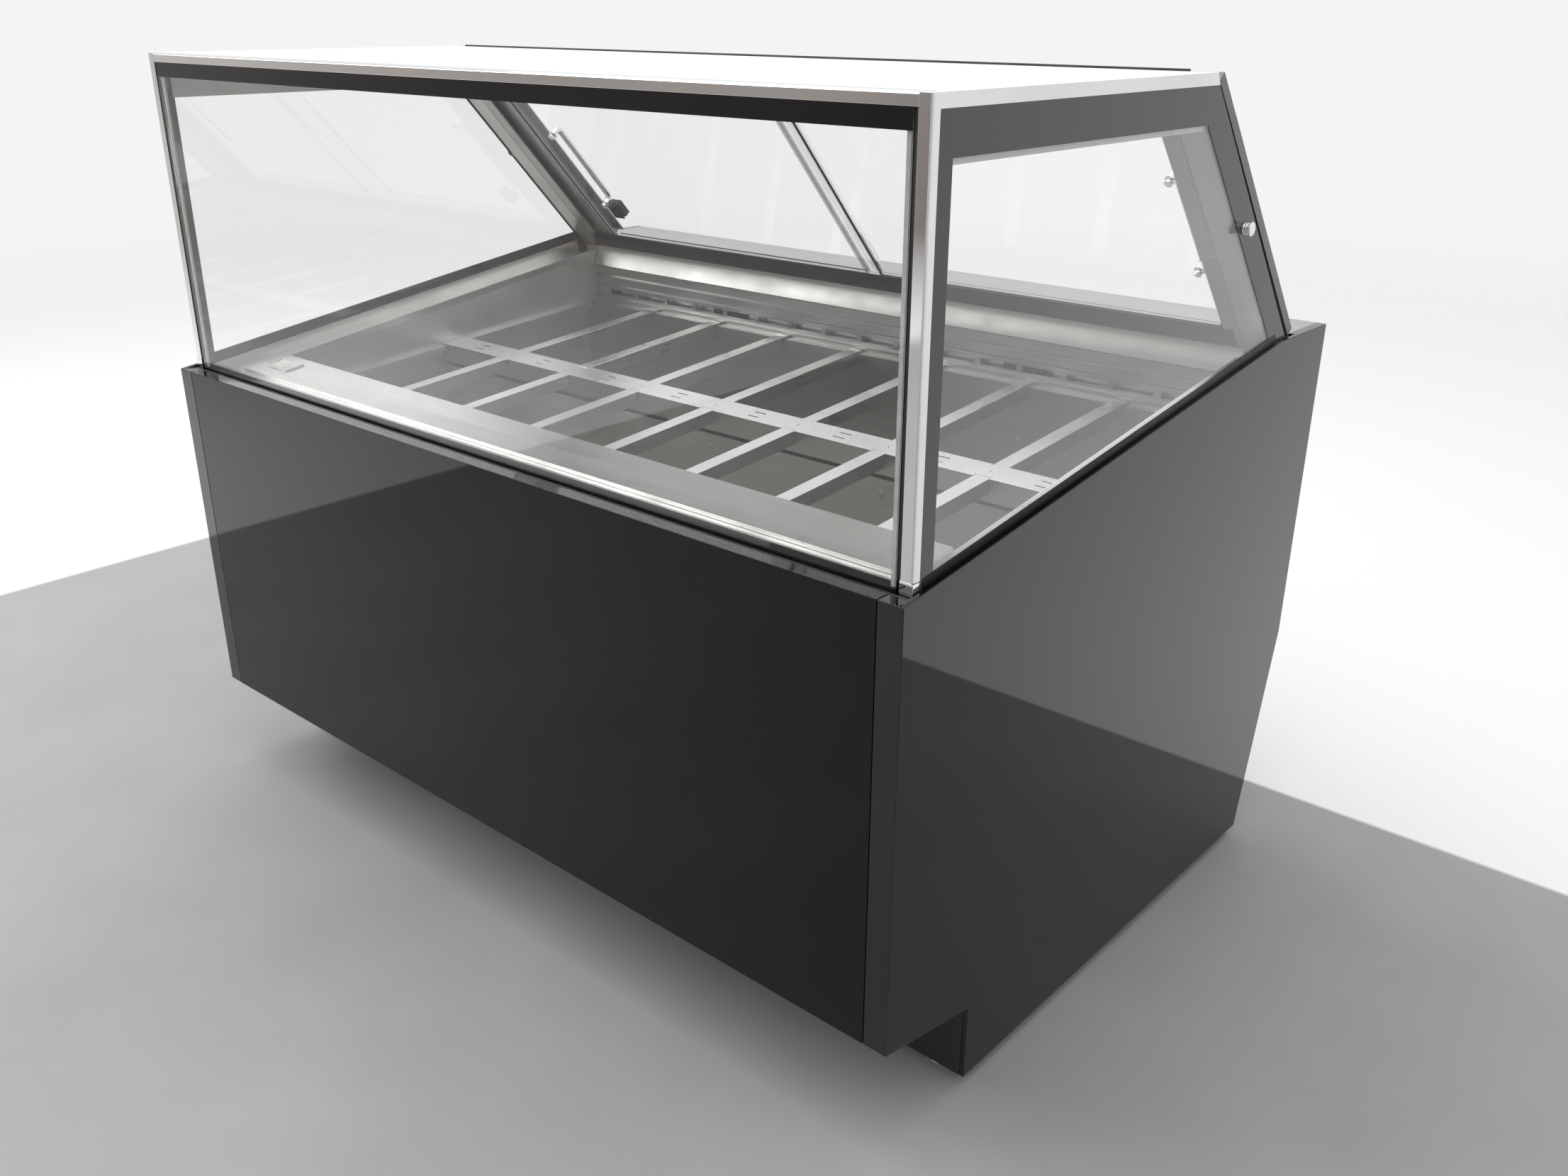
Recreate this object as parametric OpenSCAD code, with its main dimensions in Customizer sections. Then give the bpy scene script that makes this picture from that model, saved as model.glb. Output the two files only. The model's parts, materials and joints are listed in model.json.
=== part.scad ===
// Ice cream dipping cabinet: gloss black body, sloping stainless well with a grid for two rows
// of pans, glass canopy and two sliding doors at the operator's side.
// +X runs along the customer front, the customer side faces -Y, +Z is up.
// The origin is on the floor, under the middle of the body.

/* [Body] */
// Overall width of the lower body
body_w = 1500; // [1400:10:1600]
// Overall depth of the lower body
body_d = 1050; // [1040:5:1060]
// Height of the front top edge
front_h = 736; // [720:2:750]
// Height of the level rear top edge
rear_h = 860; // [850:2:870]
// Depth over which the side top edge climbs before it runs level
slope_run = 887; // [880:1:895]
// Height of the front panel's bottom edge above the floor
apron_h = 162; // [150:1:175]
// Depth of the toe recess in front of the plinth
toe_d = 173; // [160:1:185]
// Height of the plinth's bottom edge above the floor
foot_h = 15; // [12:1:20]
// Thickness of the folded casing panels
casing_t = 7; // [6:0.5:8]

/* [Canopy] */
// Height of the canopy's top
canopy_h = 1227; // [1215:1:1240]
// Width over the canopy's side trims
canopy_w = 1484; // [1480:1:1486]
// Setback of the front glass from the front panel
glass_setback = 27; // [24:1:30]
// Depth of the canopy's top, from the body's front to the rear edge
canopy_top_d = 615; // [600:1:625]
// Slope of the sliding doors from the horizontal
rear_deg = 48; // [46:0.5:50]
// Thickness of the fixed glass
glass_t = 6; // [5:0.5:6]

/* [Pan grid] */
// Number of pan columns
columns = 8; // [8:1:8]
// Distance between pan columns
pan_pitch = 172; // [170:1:173]
// Width of a divider bar
divider_w = 25; // [20:1:28]
// Width of the cross bar between the two rows
centre_bar_w = 50; // [44:1:56]
// Distance from the body's front to the middle of the cross bar
centre_bar_d = 512; // [505:1:518]

/* [Doors] */
// Thickness of a sliding door's glass
door_glass_t = 5; // [4:0.5:5]
// Height of a door handle above its glass
handle_h = 24; // [22:0.5:25]
// Distance between a handle's two feet
handle_span = 182; // [160:1:200]

/* [Hidden] */

$fn = 48;

// Colours
gloss_black = [0.05, 0.05, 0.055];
matt_black = [0.09, 0.09, 0.10];
rubber_black = [0.03, 0.03, 0.03];
stainless = [0.78, 0.78, 0.76];
polished = [0.86, 0.86, 0.88];
satin_white = [0.92, 0.92, 0.91];
grey_paint = [0.42, 0.42, 0.43];
border_grey = [0.20, 0.20, 0.23];
clear_glass = [0.80, 0.90, 0.88, 0.30];
foam_yellow = [0.88, 0.82, 0.60];
copper = [0.72, 0.42, 0.25];
galvanised = [0.62, 0.64, 0.66];

// Body geometry
slope = (rear_h - front_h) / slope_run;
slope_deg = atan(slope);
sheet_t = 1.5;
seam = 0.05;
corner_strip_w = 34;
panel_gap = 0.8;
flange_d = 20;
plinth_drop = 37;
rear_kink_h = 355;
rear_tuck = 71;
tuck_deg = atan(rear_tuck / (rear_kink_h - foot_h));
gland_x = body_w / 2 - 130;
gland_h = 120;
gland_r = 12;
inside_x = body_w / 2 - casing_t;
frame_tube = 40;
frame_top = 408;
frame_x = body_w / 2 - 35;
frame_front_d = toe_d + 2;
frame_back_d = 974;
foot_rows = [205, 590, 940];
foot_x = frame_x - frame_tube / 2;
stud_r = 5;

// Well geometry, all depths measured back from the body's front
rim_drop = 22;
upstand_t = 3.5;
sill_drop = 16;
tub_half_w = columns * pan_pitch / 2 + 8;
liner_t = 1.5;
foam_half_w = tub_half_w + 38;
tub_front_d = 148;
tub_back_d = 985;
tub_floor_h = 470;
foam_floor_h = frame_top;
foam_front_d = 30;
foam_back_d = 1043;
grid_front_h = 678;
grid_slope_deg = 4.7;
bar_h = 22;
rivet_h = 640;
rivet_xs = [-2 * pan_pitch, 0, 2 * pan_pitch];
duct_d = 878;
rail_front_d = 868;
rail_low_h = 846;
rail_high_h = 872;
worktop_t = 20;
worktop_front_d = rear_d_at(rear_h) + 2;
drain_x = -600;
drain_d = 330;
drain_r = 12;
riser_x = 620;
riser_d = 915;
riser_hole_r = 14;
rear_ledge_h = 733;

// Canopy geometry
canopy_x = canopy_w / 2;
glass_x = canopy_x - 1;
trim_t = 7;
trim_h = 14.5;
trim_front_w = 9.5;
front_lip_h = 13;
lip_d = 28;
corner_w = 14;
corner_gap = 5;
corner_x = canopy_x - corner_w - 3;
shoe_h = 16;
seat_depth = 24;
front_glass_h = front_h - 18;
border_t = 0.4;
band_low_h = 1193;
window_front_d = 61;
window_top_h = 1168;
window_rear_inset = 60;
window_lift = -seat_depth - 6;
post_t = 14;
post_gap = 1.5;
header_v = 71;
header_depth = 52;
post_depth = 58;
door_top_v = 44;
door_bottom_h = 858;
door_edge_x = 684;
stile_w = 48;
stile_t = 9;
seal_w = 34;
left_door_end = 43;
left_handle_x = -590;
left_handle_v = 167;
right_door_end = -11;
right_handle_x = 624;
right_handle_v = 186;
handle_r = 6;
right_door_w = -5.5;
left_door_w = right_door_w - 10.5 - handle_h;
lock_x = -568;
lock_v = 364;
knob_d = 724;
knob_h = 1034;
knob_stud_r = 4;
post_head_v = 30;
post_front_lip = 15;
post_rear_lip = 20;

// Control panel on the operator's side
controls_x = 540;
controls_h = 785;
controls_w = 220;
controls_tall = 80;
button_x = controls_x - 75;
button_row_h = controls_h - 18;
button_pitch = 20;
button_r = 5;
rocker_tilt = 12;
switch_x = controls_x + 24;
switch_pitch = 42;
axle_r = 1.5;

// Cooling plant
fan_axis_h = 760;
fan_x = 330;
fan_d = 905;
coil_d = 945;
compressor_x = 60;
compressor_d = 760;
receiver_x = -80;
receiver_d = 720;
condenser_x = -380;
condenser_d = 880;
condenser_fan_h = 215;
condenser_fan_d = 800;
shaft_r = 4;

// ---- Helpers ----------------------------------------------------------------

// Height of the sloping side edge at a depth, raised by lift
function slope_h(d, lift = 0) = front_h + slope * d + lift;

// Depth of a plane parallel to the doors at a height, set inwards by inset
function rear_d_at(h, inset = 0) =
    canopy_top_d + (canopy_h - h) / tan(rear_deg) - inset / sin(rear_deg);

// Depth where the sloping edge, raised by lift, meets that plane
function slope_meets_rear(lift, inset) =
    (rear_d_at(front_h + lift, inset)) / (1 + slope / tan(rear_deg));

// Moves to a depth from the body's front, a height and a distance from the middle
module place(x, d, h) {
    translate([x, d - body_d / 2, h]) children();
}

// Extrudes a side-view outline (depth, height) from x0 to x1
module side_extrude(x0, x1) {
    place(x0, 0, 0) rotate([90, 0, 90]) linear_extrude(x1 - x0) children();
}

// Block given by its ranges across, in depth and in height
module block(x, d, h) {
    place(x[0], d[0], h[0]) cube([x[1] - x[0], d[1] - d[0], h[1] - h[0]]);
}

// Frame whose local y climbs along the sloping top edge and whose local z is its normal
module on_slope() {
    place(0, 0, front_h) rotate([slope_deg, 0, 0]) children();
}

// Frame on the pan grid: local y runs back along the bars, local z is up from their top
module on_grid() {
    place(0, tub_front_d, grid_front_h) rotate([grid_slope_deg, 0, 0]) children();
}

// Frame on the doors' plane: local y runs down the slope, local z points out of the canopy
module on_rear() {
    place(0, canopy_top_d, canopy_h) rotate([-rear_deg, 0, 0]) children();
}

// Block in one of those frames
module slab(x, y, z) {
    translate([x[0], y[0], z[0]]) cube([x[1] - x[0], y[1] - y[0], z[1] - z[0]]);
}

// Runs a part on both sides
module both_sides() {
    children();
    mirror([1, 0, 0]) children();
}

// Round bar between two points
module rod(a, b, r) {
    v = b - a;
    length = norm(v);
    tilt = acos(v[2] / length);
    turn = atan2(v[1], v[0]);
    translate(a) rotate([0, tilt, turn]) cylinder(h = length, r = r, $fn = 24);
}

// Pipe through a list of points, with ball corners
module pipe_run(points, r) {
    for (i = [0 : len(points) - 2]) rod(points[i], points[i + 1], r);
    for (p = points) translate(p) sphere(r = r, $fn = 24);
}

// ---- Frame and casing ---------------------------------------------------------

// Welded frame of square tubes; each tube is a solid of its own
module base_frame() {
    tube = frame_tube;
    post = 30;
    post_rows = [frame_front_d, 575, frame_back_d - post];
    floor_rows = [frame_front_d, 560, frame_back_d - tube];
    top_rows = [60, 480, frame_back_d - post];
    low = foot_h + tube;
    high = frame_top - 25;
    color(matt_black) {
        difference() {
            for (d = floor_rows) block([-frame_x, frame_x], [d, d + tube], [foot_h, low]);
            stud_holes();
        }
        for (d = top_rows) block([-frame_x, frame_x], [d, d + post], [high, frame_top]);
        both_sides() {
            difference() {
                for (i = [0, 1])
                    block([frame_x - tube, frame_x], [floor_rows[i] + tube + seam, floor_rows[i + 1] - seam],
                          [foot_h, low]);
                stud_holes();
            }
            for (i = [0, 1])
                block([frame_x - post, frame_x], [top_rows[i] + post + seam, top_rows[i + 1] - seam],
                      [high, frame_top]);
            for (d = post_rows) block([frame_x - post, frame_x], [d, d + post], [low + seam, high - seam]);
        }
        // shelf plate that carries the cooling plant
        block([-frame_x + tube + seam, frame_x - tube - seam],
              [floor_rows[1] + tube + seam, floor_rows[2] - seam], [low - 3, low]);
    }
}

module stud_holes() {
    for (x = [-1, 1], d = foot_rows) place(x * foot_x, d, 0) cylinder(h = 100, r = stud_r + 0.1);
}

module levelling_feet() {
    pad_r = 19;
    pad_h = 7;
    nut_r = 9;
    color(satin_white)
        for (x = [-1, 1], d = foot_rows) place(x * foot_x, d, 0) {
            cylinder(h = pad_h, r1 = pad_r, r2 = pad_r - 3);
            cylinder(h = foot_h - 2, r = nut_r, $fn = 6);
            cylinder(h = foot_h + 24, r = stud_r);
        }
}

// Folded sheet: the plinth's front face and the soffit behind the front panel
module plinth_front() {
    low = apron_h - plinth_drop;
    color(matt_black) side_extrude(-inside_x, inside_x)
        polygon([
            [toe_d, foot_h], [toe_d + 2, foot_h], [toe_d + 2, low + 2],
            [flange_d, apron_h + 4], [flange_d, apron_h + 2], [toe_d, low]
        ]);
}

module front_panel() {
    half = body_w / 2 - corner_strip_w - panel_gap;
    color(gloss_black) difference() {
        block([-half, half], [0, flange_d], [apron_h, front_h]);
        block([-half + sheet_t, half - sheet_t], [sheet_t, flange_d + 1],
              [apron_h + sheet_t, front_h - sheet_t]);
    }
}

module side_outline() {
    polygon([
        [0, apron_h], [0, front_h], [slope_run, rear_h], [body_d, rear_h],
        [body_d, rear_kink_h], [body_d - rear_tuck, foot_h], [toe_d, foot_h],
        [toe_d, apron_h - plinth_drop]
    ]);
}

// Side casing with the strip that returns round the front
module side_panel_right() {
    outer = body_w / 2;
    color(gloss_black) {
        side_extrude(outer - casing_t, outer) side_outline();
        block([outer - corner_strip_w, outer - casing_t], [0, flange_d], [apron_h, front_h]);
        block([outer - 15, outer - casing_t], [worktop_front_d, body_d], [rear_h - 10, rear_h]);
    }
}

module side_panel_left() {
    mirror([1, 0, 0]) side_panel_right();
}

module rear_panel() {
    color(grey_paint) difference() {
        block([-inside_x, inside_x], [body_d - sheet_t - 2, body_d - 2], [rear_kink_h, rear_h - worktop_t]);
        block([controls_x - controls_w / 2 + 6, controls_x + controls_w / 2 - 6], [body_d - 20, body_d],
              [controls_h - controls_tall / 2 + 6, controls_h + controls_tall / 2 - 6]);
    }
}

// Louvred lower panel, tucked in towards the floor
module rear_grille() {
    length = norm([rear_tuck, rear_kink_h - foot_h]);
    slot_w = 390;
    slot_h = 8;
    slot_pitch = 20;
    slot_low = 70;
    color(grey_paint) place(0, body_d - rear_tuck, foot_h) rotate([-tuck_deg, 0, 0]) difference() {
        slab([-inside_x + 0.2, inside_x - 0.2], [-sheet_t - 2, -2], [0, length - 1]);
        for (x = [-620, -210, 200], z = [slot_low : slot_pitch : slot_low + 10 * slot_pitch])
            slab([x, x + slot_w], [-5, 1], [z, z + slot_h]);
        translate([gland_x, 0, gland_h]) rotate([90, 0, 0])
            cylinder(h = 20, r = gland_r + 0.2, center = true);
    }
}

module rear_worktop() {
    half = body_w / 2 - 15;
    front = worktop_front_d;
    color(stainless) difference() {
        block([-half, half], [front, body_d - 1], [rear_h - worktop_t, rear_h]);
        block([-half + sheet_t, half - sheet_t], [front + sheet_t, body_d - 1 - sheet_t],
              [rear_h - worktop_t - 1, rear_h - sheet_t]);
    }
}

// ---- Insulated well -------------------------------------------------------------

// Side view of the well's cavity
module cavity_outline() {
    polygon([
        [tub_front_d, tub_floor_h], [tub_back_d, tub_floor_h], [tub_back_d, rail_low_h - 26],
        [duct_d + 10, rail_low_h - 26], [duct_d + 10, rear_h + 60], [tub_front_d, rear_h + 60]
    ]);
}

// Side view of everything under the rim
module under_rim_outline(drop) {
    polygon([
        [foam_front_d, foam_floor_h], [foam_front_d, slope_h(foam_front_d, -drop)],
        [duct_d + 10, slope_h(duct_d + 10, -drop)], [duct_d + 10, rear_h - worktop_t],
        [foam_back_d, rear_h - worktop_t], [foam_back_d, foam_floor_h]
    ]);
}

module insulation_tub() {
    recess = controls_w / 2 + 4;
    recess_tall = controls_tall + 8;
    color(foam_yellow) difference() {
        side_extrude(-foam_half_w, foam_half_w) under_rim_outline(34);
        side_extrude(-tub_half_w, tub_half_w) cavity_outline();
        block([controls_x - recess, controls_x + recess], [foam_back_d - 32, foam_back_d + 1],
              [controls_h - recess_tall / 2, controls_h + recess_tall / 2]);
        place(drain_x, drain_d, 0) cylinder(h = rear_h, r = drain_r + 0.5);
        place(riser_x, riser_d, 0) cylinder(h = tub_floor_h, r = riser_hole_r);
    }
}

// Tub of welded sheets, each a solid of its own, with ledges for the bars and the outer pans
module tub_liner() {
    t = liner_t;
    half = tub_half_w - t;
    top = -rim_drop - 3;
    shelf = rail_low_h - 26;
    mid = centre_bar_d - tub_front_d;
    color(stainless) {
        difference() {
            block([-half + seam, half - seam], [tub_front_d, tub_back_d], [tub_floor_h, tub_floor_h + t]);
            place(drain_x, drain_d, 0) cylinder(h = rear_h, r = drain_r + 0.3);
            place(riser_x, riser_d, 0) cylinder(h = tub_floor_h + 20, r = riser_hole_r);
        }
        block([-half + seam, half - seam], [tub_front_d, tub_front_d + t],
              [tub_floor_h + t + seam, slope_h(tub_front_d, top)]);
        block([-half + seam, half - seam], [tub_back_d - t, tub_back_d], [tub_floor_h + t + seam, shelf]);
        block([-half + seam, half - seam], [duct_d + 10, tub_back_d - t - seam], [shelf - t, shelf]);
        both_sides() side_extrude(half, tub_half_w) intersection() {
            cavity_outline();
            under_rim_outline(-top);
        }
        on_grid() {
            slab([-half + seam, half - seam], [t + seam, 13], [-12, -2.6]);
            both_sides() for (run = [[13 + seam, mid - 26.5], [mid + 26.5, 702]])
                slab([half - 14, half - seam], run, [-12, -2.6]);
        }
    }
}

// Stainless rim round the well, level with the slope, with a turned-down lip
module well_rim() {
    outer = foam_half_w - 5;
    front = 47;
    back = duct_d - 12;
    lip = 12;
    color(stainless) on_slope() {
        // upstands beside the side panes
        both_sides() slab([outer - 1, outer + upstand_t], [front + 0.2, back], [-rim_drop - 3.5, -4]);
        difference() {
            slab([-outer, outer], [front, back], [-rim_drop - lip, -rim_drop]);
            slab([-tub_half_w + 3, tub_half_w - 3], [tub_front_d + 4, back + 1], [-100, 0]);
            difference() {
                slab([-outer - 1, outer + 1], [front - 1, back + 1], [-100, -rim_drop - sheet_t]);
                slab([-tub_half_w + 1.5, tub_half_w - 1.5], [tub_front_d + 2.5, back + 2], [-100, 0]);
            }
        }
    }
}

// Raised sill between the front glass and the pans, folded down at its edges
module front_sill() {
    half = tub_half_w - 2;
    front = 84;
    back = 162;
    color(stainless) on_slope() difference() {
        slab([-half, half], [front, back], [-rim_drop, -sill_drop]);
        slab([-half + sheet_t, half - sheet_t], [front + sheet_t, back - sheet_t],
             [-rim_drop - 1, -sill_drop - sheet_t]);
    }
}

// Small framed vent at the sill's left end
module sill_vent() {
    cx = -tub_half_w + 62;
    color(stainless) on_slope() {
        difference() {
            slab([cx - 34, cx + 34], [108, 142], [-sill_drop, -sill_drop + 3]);
            slab([cx - 30, cx + 30], [112, 138], [-sill_drop + 1, 0]);
        }
        for (i = [0 : 3]) slab([cx - 29, cx + 29], [114 + i * 6, 117 + i * 6],
                               [-sill_drop + 1, -sill_drop + 2.4]);
    }
}

// Black seat that holds the bottom edges of the front and side glass
module glass_gasket() {
    low = -30;
    floor = -26;
    top = -3;
    lip_end = 23.8;
    slot_end = 33.8;
    seat_end = 38.2;
    back = 47;
    rear = slope_run - 20;
    inner = foam_half_w - 5;
    pane_x = glass_x - glass_t - 0.5;
    seat_x = corner_x - 3.5;
    color(rubber_black) {
        on_slope() {
            slab([-inside_x, inside_x], [flange_d, back], [low, floor]);
            slab([-inside_x, inside_x], [flange_d, lip_end], [low, top]);
            slab([-seat_x, seat_x], [slot_end, back], [low, top]);
            both_sides() {
                slab([seat_x - 1, pane_x], [seat_end, back], [low, top]);
                slab([inner, inside_x], [back - 1, rear], [low, floor]);
                slab([inner + upstand_t + 0.2, pane_x], [back - 1, rear], [low, top]);
            }
        }
        // upright seals between the front glass and the corner profiles
        both_sides() block([corner_x - corner_gap, corner_x], [glass_setback + 1, glass_setback + glass_t],
                           [front_h + shoe_h, canopy_h - front_lip_h]);
    }
}

// Slotted cross bar between the two rows of pans
module centre_bar() {
    y = centre_bar_d - tub_front_d;
    half = tub_half_w - liner_t - 1;
    color(stainless) on_grid() difference() {
        slab([-half, half], [y - centre_bar_w / 2, y + centre_bar_w / 2], [-34, 0]);
        slab([-half - 1, half + 1], [y - centre_bar_w / 2 + 2, y + centre_bar_w / 2 - 2], [-40, -2]);
        // pairs of slots in the middle of every column
        for (i = [0 : columns - 1]) {
            x = (i - columns / 2 + 0.5) * pan_pitch;
            for (side = [-1, 1]) translate([x, y + side * 9, -5]) slab([-11, 11], [-1.5, 1.5], [0, 10]);
        }
        // notches that take the divider bars
        for (i = [1 : columns - 1]) {
            x = (i - columns / 2) * pan_pitch;
            for (side = [-1, 1])
                translate([x, y + side * centre_bar_w / 2, 0]) slab([-13, 13], [-7, 7], [-2.6, 1]);
            translate([x, y, -5]) cylinder(h = 10, r = 1.6);
        }
    }
}

// Web under the cross bar, with an air gap between them
module centre_partition() {
    half = tub_half_w - liner_t - 1;
    front = centre_bar_d - 19;
    back = centre_bar_d + 19;
    color(stainless) {
        difference() {
            block([-half, half], [front, back], [tub_floor_h + liner_t, 664]);
            block([-half - 1, half + 1], [front + 2, back - 2], [tub_floor_h + liner_t + 2, 665]);
        }
        for (x = rivet_xs) place(x, front, rivet_h) rotate([90, 0, 0]) cylinder(h = 2, r = 6);
    }
}

// Divider bars of both rows: inverted channels with hooked ends
module pan_dividers() {
    mid = centre_bar_d - tub_front_d;
    rows = [
        [4, mid - centre_bar_w / 2 + 6.5],
        [mid + centre_bar_w / 2 - 6.5, duct_d - tub_front_d - 8]
    ];
    color(stainless) on_grid()
        for (i = [1 : columns - 1], row = rows) {
            x = (i - columns / 2) * pan_pitch;
            difference() {
                slab([x - divider_w / 2, x + divider_w / 2], row, [-2.5, 0]);
                slab([x - 1, x + 1], [row[0] - 1, row[0] + 2], [-5, 1]);
            }
            front_in = row == rows[0] ? 13 : 8;
            back_in = row == rows[0] ? 8 : 19;
            for (side = [-1, 1]) translate([x + side * (divider_w / 2 - 1), 0, 0])
                slab([-1, 1], [row[0] + front_in, row[1] - back_in], [-bar_h, -2]);
        }
}

// Folded air duct along the back of the well
module rear_duct() {
    half = tub_half_w - liner_t - 1;
    ledge = 742;
    color(stainless) difference() {
        side_extrude(-half, half) polygon([
            [duct_d - 8, ledge - 30], [duct_d - 8, ledge], [duct_d + 2, ledge],
            [duct_d + 2, ledge + 22], [duct_d - 2, ledge + 22], [duct_d - 2, ledge + 24],
            [duct_d + 2, ledge + 26], [duct_d + 2, ledge + 41], [duct_d - 5, ledge + 41],
            [duct_d - 5, ledge + 43], [duct_d + 1, ledge + 45], [duct_d + 1, ledge + 60],
            [duct_d - 6, ledge + 63], [duct_d + 5, ledge + 90], [duct_d + 5, rail_low_h - 3],
            [duct_d + 8.4, rail_low_h - 3], [duct_d + 8.4, ledge - 30]
        ]);
        // air outlets
        for (i = [0 : 15]) block([-655 + i * 82, -585 + i * 82], [duct_d - 20, duct_d + 30],
                                 [ledge + 6, ledge + 16]);
    }
    color(stainless) {
        // rear support ledge and back wall of the well under the duct
        block([-half, half], [duct_d - 26, duct_d - 24], [tub_floor_h + liner_t, rear_ledge_h]);
        block([-half, half], [duct_d - 26, duct_d + 8.4], [rear_ledge_h - 2, rear_ledge_h]);
        for (x = rivet_xs) place(x, duct_d - 26, rivet_h) rotate([90, 0, 0]) cylinder(h = 2, r = 6);
    }
}

// ---- Cooling -------------------------------------------------------------------------

// Finned coil: plates along x and straight tubes through them
module finned_coil(w, t, h, plates, rows, tube_r) {
    for (i = [0 : plates - 1])
        translate([-w / 2 + i * (w - 1) / (plates - 1), -t / 2, 0]) cube([1, t, h]);
    for (k = [0 : rows - 1]) {
        z = h * (k + 0.5) / rows;
        translate([-w / 2 - 14, 0, z]) rotate([0, 90, 0]) cylinder(h = w + 28, r = tube_r, $fn = 24);
    }
}

// Axial fan rotor about the y axis: hub and twisted blades
module fan_rotor(r, hub_r, depth, blades) {
    rotate([90, 0, 0]) difference() {
        cylinder(h = depth, r = hub_r, center = true);
        cylinder(h = depth + 2, r = shaft_r + 0.05, center = true);
    }
    for (i = [0 : blades - 1])
        rotate([0, i * 360 / blades, 0]) translate([0, 0, hub_r - 2]) rotate([0, 0, 32])
            translate([-(r - hub_r) * 0.30, -0.9, 0]) cube([(r - hub_r) * 0.6, 1.8, r - hub_r]);
}

module evaporator() {
    plate_d = fan_d - 10;
    color(galvanised) place(0, coil_d, tub_floor_h + 20) finned_coil(1080, 56, 200, 37, 4, 5);
    // plate that carries the two fans, with their motors and spiders
    color(galvanised) {
        difference() {
            block([-640, 640], [plate_d, plate_d + 2], [tub_floor_h + 210, rail_low_h - 30]);
            for (s = [-1, 1]) place(s * fan_x, plate_d - 5, fan_axis_h) rotate([-90, 0, 0])
                cylinder(h = 20, r = 48);
        }
        for (s = [-1, 1]) {
            place(s * fan_x, fan_d + 14, fan_axis_h) rotate([-90, 0, 0]) cylinder(h = 30, r = 20);
            place(s * fan_x, fan_d - 6, fan_axis_h) rotate([-90, 0, 0]) cylinder(h = 24, r = shaft_r);
            for (a = [45 : 90 : 315]) place(s * fan_x, fan_d + 20, fan_axis_h) rotate([0, a, 0])
                translate([-2, -1.5, 0]) cube([4, 3, 60]);
            for (a = [45 : 90 : 315]) place(s * fan_x, 0, fan_axis_h) rotate([0, a, 0])
                translate([-2, plate_d + 1, 55]) cube([4, fan_d + 22 - plate_d, 4]);
        }
    }
}

module evaporator_fan(side) {
    color(matt_black) place(side * fan_x, fan_d, fan_axis_h) fan_rotor(44, 16, 12, 5);
}

// Drain pipe with a thicker hose spigot at its lower end
module drain_pipe() {
    bottom = 70;
    spigot = 45;
    color(stainless) place(drain_x, drain_d, 0) difference() {
        union() {
            translate([0, 0, bottom]) cylinder(h = spigot, r = drain_r);
            translate([0, 0, bottom]) cylinder(h = tub_floor_h + 3 - bottom, r = drain_r - 1);
            translate([0, 0, tub_floor_h + liner_t]) cylinder(h = 2, r = 24);
        }
        translate([0, 0, bottom - 1]) cylinder(h = tub_floor_h, r = drain_r - 3);
    }
}

module compressor() {
    base = foot_h + frame_tube;
    color(matt_black) place(compressor_x, compressor_d, base) {
        rotate_extrude($fn = 96) polygon(concat(
            [[0, 30], [78, 30]],
            [for (a = [0 : 10 : 90]) [82 * cos(a), 150 + 46 * sin(a)]]
        ));
        rotate_extrude($fn = 96) translate([0, 96]) square([86, 5]);
        for (x = [-1, 1], y = [-1, 1]) translate([x * 72, y * 60, 0]) cylinder(h = 26, r = 13);
        translate([-90, -74, 26]) cube([180, 148, 4]);
        translate([78, -26, 90]) cube([34, 52, 60]);
    }
}

module condenser() {
    color(galvanised) place(condenser_x, condenser_d, foot_h + frame_tube + 2)
        finned_coil(320, 64, 300, 25, 6, 5);
    color(galvanised) for (s = [-1, 1])
        place(condenser_x + s * 166 - 1, condenser_d - 34, foot_h + frame_tube) cube([2, 68, 304]);
}

module condenser_fan_shroud() {
    ring_r = 118;
    half = 165;
    wall = 2;
    low = foot_h + frame_tube;
    high = 360;
    front = condenser_fan_d - 20;
    back = condenser_d - 36;
    color(grey_paint) {
        difference() {
            block([condenser_x - half, condenser_x + half], [front, back], [low, high]);
            block([condenser_x - half + wall, condenser_x + half - wall], [front + wall, back + 1],
                  [low + wall, high - wall]);
            place(condenser_x, front - 5, condenser_fan_h) rotate([-90, 0, 0]) cylinder(h = 20, r = ring_r);
        }
        place(condenser_x, front - 34, condenser_fan_h) rotate([-90, 0, 0]) cylinder(h = 34, r = 34);
        place(condenser_x, front - 1, condenser_fan_h) rotate([-90, 0, 0]) cylinder(h = 31, r = shaft_r);
        for (a = [45 : 90 : 315]) place(condenser_x, front - 6, condenser_fan_h) rotate([0, a, 0])
            translate([-3, 0, 30]) cube([6, 4, ring_r - 20]);
        for (a = [45 : 90 : 315]) place(condenser_x, front - 6, condenser_fan_h) rotate([0, a, 0])
            translate([-3, 0, ring_r + 2]) cube([6, 6.5, 8]);
    }
}

module condenser_fan() {
    color(matt_black) place(condenser_x, condenser_fan_d - 2, condenser_fan_h) fan_rotor(112, 30, 24, 5);
}

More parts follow.
